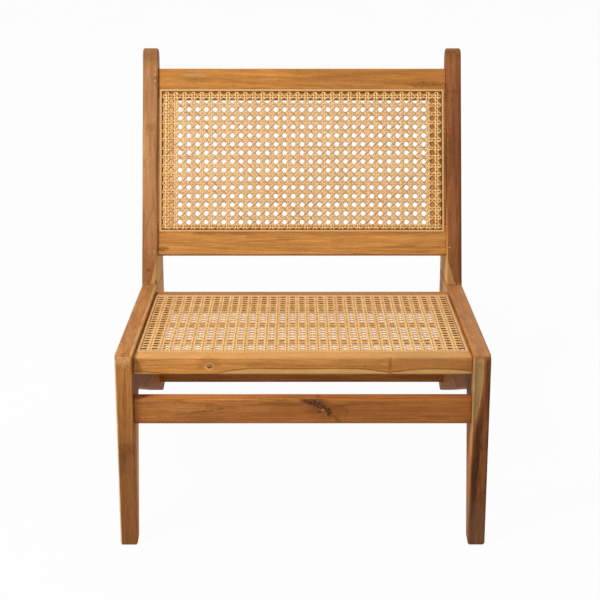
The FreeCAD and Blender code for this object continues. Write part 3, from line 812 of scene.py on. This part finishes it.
class Panel:
    """A caned panel's own axes, taken from the box of its cane sheet and its slope."""

    def __init__(self, node, slope):
        low, high = (Vector(corner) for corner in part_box(node))
        self.run = Vector(side_run(slope))
        self.out = Vector(side_run(slope + 90))
        tilt = math.radians(slope)
        deep = SHEET_TOP + LIP_DEPTH
        size = high - low
        self.half_width = size.x / 2
        if abs(tilt) < math.pi / 4:
            self.half_length = (size.y - deep * abs(math.sin(tilt))) / math.cos(tilt) / 2
        else:
            self.half_length = (size.z - deep * abs(math.cos(tilt))) / math.sin(tilt) / 2
        self.middle = (low + high) / 2 - self.out * (SHEET_TOP - deep / 2)

    def spot(self, x, y, z):
        """Point of the panel as a point of the chair."""
        return self.middle + Vector(ACROSS) * x + self.run * y + self.out * z


def strand_events(kind, side):
    """Where a strand of one kind goes over or under, as (share of the pitch, up or down)."""
    near = PAIR_SHARE
    if kind == "lengthwise":
        return [(-near, side), (near, -side), (0.5 - near, side), (0.5 + near, -side)]
    if kind == "crosswise":
        return [(-near, -side), (near, side), (0.5 - near, -side), (0.5 + near, side)]
    lift = 1 if kind == "rising" else -1
    return [(-near, lift), (near, lift), (0.5 - near, -lift), (0.5 + near, -lift)]


class Weave:
    """The strands of one kind on one panel, gathered into a single mesh."""

    def __init__(self, panel, pitch, row_offset, kind):
        self.panel = panel
        self.kind = kind
        self.pitch = pitch
        self.row_offset = row_offset
        self.points = []
        self.faces = []
        self.lengths = []
        self.tones = []
        self.lifts = []
        self.edges = []
        self.reach_x = panel.half_width - LIP_THICKNESS / 2
        self.reach_y = panel.half_length - LIP_THICKNESS / 2

    def clip(self, point, direction):
        """Shares along a line at which it enters and leaves the sheet."""
        enter, leave = -math.inf, math.inf
        for place, step, reach in zip(point, direction, (self.reach_x, self.reach_y)):
            if abs(step) < 1e-9:
                if abs(place) > reach:
                    return None
                continue
            ends = sorted(((-reach - place) / step, (reach - place) / step))
            enter = max(enter, ends[0])
            leave = min(leave, ends[1])
        return (enter, leave) if leave > enter else None

    def lay(self, point, direction, events):
        """Lays one strand along a line of the sheet, and turns its ends down into the groove."""
        ends = self.clip(point, direction)
        reach = math.hypot(*direction)
        if ends is None or (ends[1] - ends[0]) * reach < SHORTEST_STRAND:
            return
        enter, leave = ends
        aside = Vector((direction[1], -direction[0], 0)).normalized()
        phase = picks.uniform(0, math.tau)
        drift = picks.uniform(0.08, 0.36) * MM
        width = STRAND_WIDTH * picks.uniform(0.92, 1.08)
        tone = picks.uniform(*STRAND_TONES[self.kind])
        rings = []
        margin = END_MARGIN / reach
        cells = range(math.floor(enter) - 1, math.ceil(leave) + 2)
        for share, lift in sorted((cell + share, lift) for cell in cells for share, lift in events):
            if enter + margin < share < leave - margin:
                settled = min(1, (share - enter) * 2, (leave - share) * 2)
                sway = drift * math.sin(share * 0.7 + phase) * settled
                x = point[0] + direction[0] * share + aside.x * sway
                y = point[1] + direction[1] * share + aside.y * sway
                middle = Vector((x, y, SHEET_TOP / 2 + lift * WEAVE_LIFT))
                rings.append((middle, aside, Vector(UPWARD), lift))
        rings = self.tucked(point, direction, enter, aside, -1)[::-1] + rings
        rings += self.tucked(point, direction, leave, aside, 1)
        self.sweep(rings, width, tone)

    def tucked(self, point, direction, end, aside, sense):
        """Rings that turn a strand down into the groove at one end, outermost last."""
        x = point[0] + direction[0] * end
        y = point[1] + direction[1] * end
        over_side = abs(abs(x) - self.reach_x) < abs(abs(y) - self.reach_y)
        out = Vector((math.copysign(1, x), 0, 0)) if over_side else Vector((0, math.copysign(1, y), 0))
        rim = Vector((-out.y, out.x, 0))
        if rim.dot(aside) < 0:
            rim = -rim
        travel = Vector((*direction, 0)).normalized() * sense
        corner = Vector((x, y, 0))
        up = Vector(UPWARD)
        return [
            (corner - travel * 1.5 * MM + up * SHEET_TOP / 2, aside, up, 0),
            (
                corner - travel * 0.35 * MM + up * 0.75 * MM,
                (aside + rim).normalized(),
                (up + out).normalized(),
                -0.5,
            ),
            (corner - up * 0.3 * MM, rim, out, -1),
            (corner - up * (LIP_DEPTH - 0.6 * MM), rim, out, -1),
        ]

    def sweep(self, rings, width, tone):
        """Skins a strand's rings with its flat oval section."""
        start = len(self.points)
        count = len(STRAND_SECTION)
        travelled = 0.0
        before = rings[0][0]
        for middle, aside, up, lift in rings:
            travelled += (middle - before).length
            before = middle
            for across, high in STRAND_SECTION:
                spot = middle + aside * (across * width) + up * (high * STRAND_THICKNESS)
                self.points.append(self.panel.spot(*spot))
                self.lengths.append(travelled / MM)
                self.tones.append(tone)
                self.lifts.append(lift)
                self.edges.append(abs(across) * 2)
        for ring in range(len(rings) - 1):
            here = start + ring * count
            for side in range(count):
                follow = (side + 1) % count
                self.faces.append((here + side, here + follow, here + count + follow, here + count + side))
        self.faces.append(tuple(start + side for side in reversed(range(count))))
        end = start + (len(rings) - 1) * count
        self.faces.append(tuple(end + side for side in range(count)))

    def straight(self):
        """All strands that run along the panel, or all that run across it."""
        pitch = self.pitch
        offset = (pitch / 2, self.row_offset)
        lengthwise = self.kind == "lengthwise"
        reach = self.reach_x if lengthwise else self.reach_y
        count = math.ceil(reach / pitch) + 1
        for index in range(-count, count + 1):
            for side in (-1, 1):
                place = offset[0 if lengthwise else 1] + pitch * (index + side * PAIR_SHARE)
                if abs(place) > reach - EDGE_INSET:
                    continue
                events = strand_events(self.kind, side)
                if lengthwise:
                    self.lay((place, offset[1]), (0, pitch), events)
                else:
                    self.lay((offset[0], place), (pitch, 0), events)

    def slanted(self):
        """All strands that run aslant, rising or falling to the right."""
        pitch = self.pitch
        turn = 1 if self.kind == "rising" else -1
        count = math.ceil((self.reach_x + self.reach_y) / pitch) + 1
        for index in range(-count, count + 1):
            start = (pitch / 2, self.row_offset + pitch * (index + 0.5))
            self.lay(start, (pitch, pitch * turn), strand_events(self.kind, 0))

    def piece(self, name, material):
        """The strands as one Blender object, each vertex with its place along its strand."""
        mesh = bpy.data.meshes.new(name)
        mesh.from_pydata(self.points, [], self.faces)
        facts = {
            "strand_length_mm": self.lengths,
            "strand_tone": self.tones,
            "strand_lift": self.lifts,
            "strand_edge": self.edges,
        }
        for label, values in facts.items():
            layer = mesh.attributes.new(label, "FLOAT", "POINT")
            layer.data.foreach_set("value", np.array(values, dtype=np.float32))
        mesh.polygons.foreach_set("use_smooth", [True] * len(mesh.polygons))
        mesh.materials.append(material)
        mesh.update()
        thing = bpy.data.objects.new(name, mesh)
        bpy.context.scene.collection.objects.link(thing)
        return thing


def cane_finish(name, shade):
    """Natural cane: satin bark, each strand of its own tone, with a brown tone at its joints, and painted
    shade where it dips under others and along its sides.
    """
    cane = Finish(name)
    length = cane.attribute("strand_length_mm")
    tone = cane.attribute("strand_tone")
    sunk = cane.attribute("strand_lift").rise(0.3, -1)
    edge = cane.attribute("strand_edge").rise(0.5, 1)
    sheen = cane.noise(cane.joined(length / 34.0, tone * 91.0, 0.0), 1.0, 3.0)
    fibres = cane.noise(cane.spot_in_mm(), 2.6, 2.0)
    joint = ((length + tone * 977.0) / JOINT_GAP_MM).fraction().near(0.5, 0.012)
    colour = cane.blend(tone, paint(204, 138, 68), paint(253, 218, 150))
    # Painted shade, with some dirt, where a strand dips under another
    colour = cane.blend(sunk * shade, colour, paint(142, 82, 32))
    # Painted shade along each strand's sides, where it rounds over
    colour = cane.blend(edge * shade, colour, paint(124, 70, 26))
    colour = cane.scaled(colour, 1.08 + sheen * 0.16 + fibres * 0.07)
    colour = cane.blend(joint * 0.55, colour, paint(150, 98, 52))
    return cane.surface(colour, 0.4 + fibres * 0.1, fibres, 0.04 * MM, Specular_IOR_Level=CANE_SPECULAR)


def weave_panel(node, slope, pitch, row_offset, shade):
    """Weaves the strands that stand for a panel's cane sheet."""
    panel = Panel(node, slope)
    finish = cane_finish(node + "_strands", shade)
    for kind in ("lengthwise", "crosswise", "rising", "falling"):
        weave = Weave(panel, pitch, row_offset, kind)
        if kind in ("lengthwise", "crosswise"):
            weave.straight()
        else:
            weave.slanted()
        piece = weave.piece(node + "_" + kind, finish)
        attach(piece, "root")
        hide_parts(node)


weave_panel("seat_cane", SEAT_SLOPE, 17.2 * MM, 7.0 * MM, 0.52)
weave_panel("back_cane", POST_SLOPE, 16.4 * MM, 6.4 * MM, 0.76)


# Floor, light and camera

FLOOR_REACH = 40.0
LAMP_TARGET = Vector((0.0, 0.0, 0.3))
CAMERA_LENS_MM = 106.8
CAMERA_PLACE = (-0.0095, -2.9587, 1.4562)
# Degrees: about the upright line, up from looking straight down, and about the line of sight
CAMERA_TURN = -0.107
CAMERA_TILT = 68.395
CAMERA_ROLL = 0.033
WHITE = (1.0, 1.0, 1.0, 1.0)


def floor_finish():
    """Pale floor that looks white as a background, and still shows a faint shadow."""
    floor = Finish("studio_floor")
    lit = floor.node("ShaderNodeBsdfDiffuse", None, {"Color": (0.66, 0.66, 0.66, 1.0)})
    glow = floor.node("ShaderNodeEmission", None, {"Color": WHITE, "Strength": 1.0})
    spot = floor.node("ShaderNodeTexCoord").outputs["Object"]
    share = floor.background_rays() * (0.96 + 0.015 * floor.noise(spot, 3.0))
    mixed = floor.node("ShaderNodeMixShader", None, {0: share, 1: lit.outputs[0], 2: glow.outputs[0]})
    floor.tree.links.new(mixed.outputs[0], floor.out.inputs["Surface"])
    return floor.material


def lay_floor():
    """Wide level floor, where the chair stands."""
    mesh = bpy.data.meshes.new("studio_floor")
    corners = ((-1, -1), (1, -1), (1, 1), (-1, 1))
    mesh.from_pydata([(x * FLOOR_REACH, y * FLOOR_REACH, 0.0) for x, y in corners], [], [(0, 1, 2, 3)])
    mesh.materials.append(floor_finish())
    floor = bpy.data.objects.new("studio_floor", mesh)
    bpy.context.scene.collection.objects.link(floor)


class Room(Finish):
    """The world's light, made with the same kit as the materials."""

    def __init__(self, name):
        world = bpy.data.worlds.new(name)
        bpy.context.scene.world = world
        self.begin(world, "ShaderNodeOutputWorld")


def light_room():
    """Even room light, white where it is seen as the background."""
    room = Room("studio")
    ambient = room.node("ShaderNodeBackground", None, {"Color": (0.98, 0.99, 1.0, 1.0), "Strength": 0.42})
    white = room.node("ShaderNodeBackground", None, {"Color": WHITE, "Strength": 1.0})
    shares = {0: room.background_rays(), 1: ambient.outputs[0], 2: white.outputs[0]}
    mixed = room.node("ShaderNodeMixShader", None, shares)
    room.tree.links.new(mixed.outputs[0], room.out.inputs["Surface"])


def hang_lamp(name, place, size, power, colour):
    """Soft square lamp at a place, turned to the chair."""
    lamp = bpy.data.lights.new(name, "AREA")
    lamp.shape = "SQUARE"
    lamp.size = size
    lamp.energy = power
    lamp.color = colour
    thing = bpy.data.objects.new(name, lamp)
    bpy.context.scene.collection.objects.link(thing)
    thing.location = place
    thing.rotation_euler = (LAMP_TARGET - Vector(place)).to_track_quat("-Z", "Y").to_euler()


def set_camera():
    """Camera at the photograph's angle, a little turned about its own line of sight."""
    lens = bpy.data.cameras.new("photo_camera")
    lens.lens = CAMERA_LENS_MM
    lens.sensor_width = 36.0
    lens.clip_end = 200.0
    camera = bpy.data.objects.new("photo_camera", lens)
    bpy.context.scene.collection.objects.link(camera)
    place = Matrix.Translation(CAMERA_PLACE)
    turn = Matrix.Rotation(math.radians(CAMERA_TURN), 4, "Z")
    tilt = Matrix.Rotation(math.radians(CAMERA_TILT), 4, "X")
    roll = Matrix.Rotation(math.radians(CAMERA_ROLL), 4, "Z")
    camera.matrix_world = place @ turn @ tilt @ roll
    bpy.context.scene.camera = camera


lay_floor()
light_room()
hang_lamp("key_lamp", (-1.9, -1.5, 3.3), 0.8, 112.0, (1.0, 0.985, 0.96))
hang_lamp("fill_lamp", (2.4, -2.4, 1.8), 2.0, 12.0, (0.99, 0.99, 1.0))
hang_lamp("back_lamp", (0.8, 2.6, 2.8), 2.0, 34.0, (1.0, 1.0, 1.0))
set_camera()
bpy.context.scene.view_settings.view_transform = "Standard"
